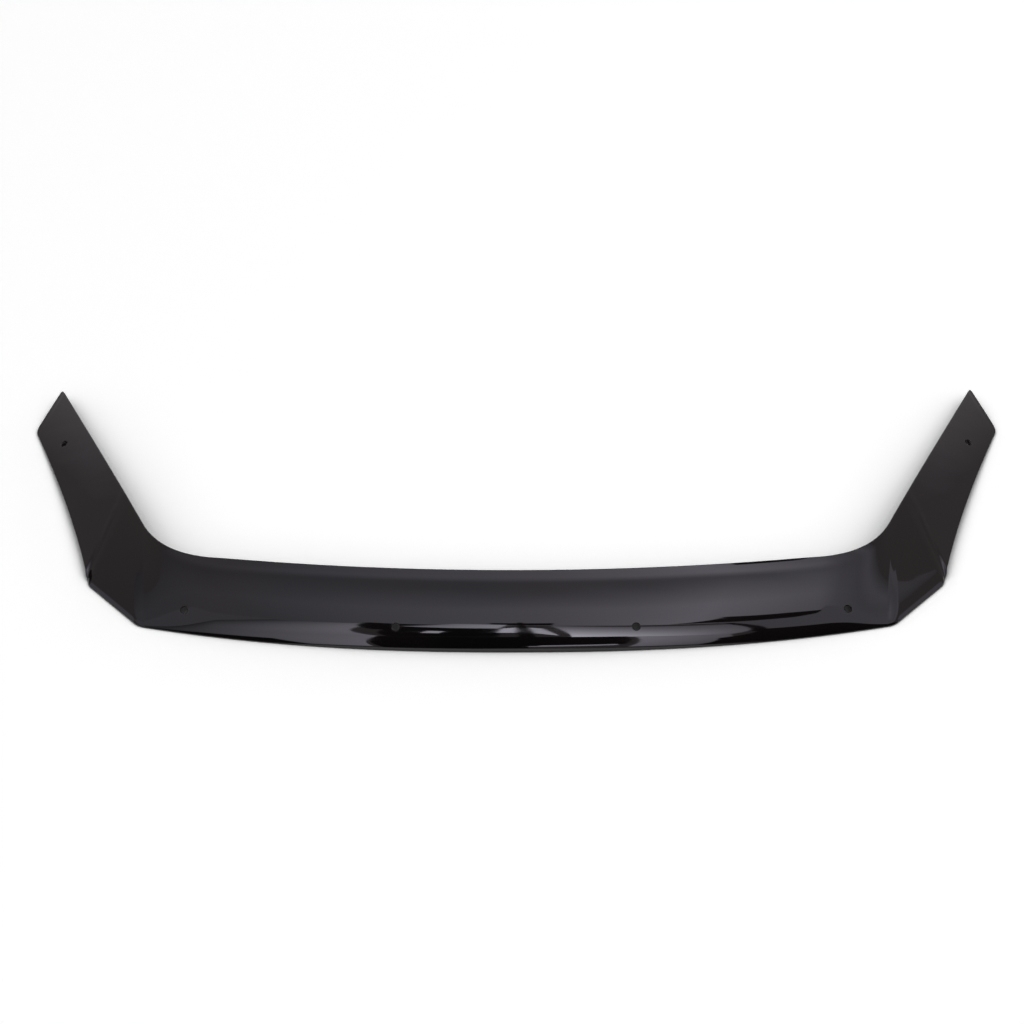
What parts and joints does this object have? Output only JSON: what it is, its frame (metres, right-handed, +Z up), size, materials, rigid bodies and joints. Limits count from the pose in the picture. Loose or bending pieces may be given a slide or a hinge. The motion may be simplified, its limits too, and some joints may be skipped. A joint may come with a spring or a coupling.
{
  "type": "hood bug deflector",
  "caption": "Wraparound shield formed from one dark acrylic sheet, with a rolled front lip, folded corners, swept wings and drilled fixing holes.",
  "frame": {"origin": "middle of the footprint, on the surface that the lip and the wings rest on", "axes": "+X across the vehicle, towards the right wing in the picture; -Y forward, the way the lip faces; +Z up"},
  "size_m": [1.3958, 0.5226, 0.0538],
  "materials": {
    "smoked_acrylic": "polished, near-black smoked acrylic"
  },
  "bodies": {
    "root": {"shield": "smoked_acrylic"}
  },
  "joints": []
}
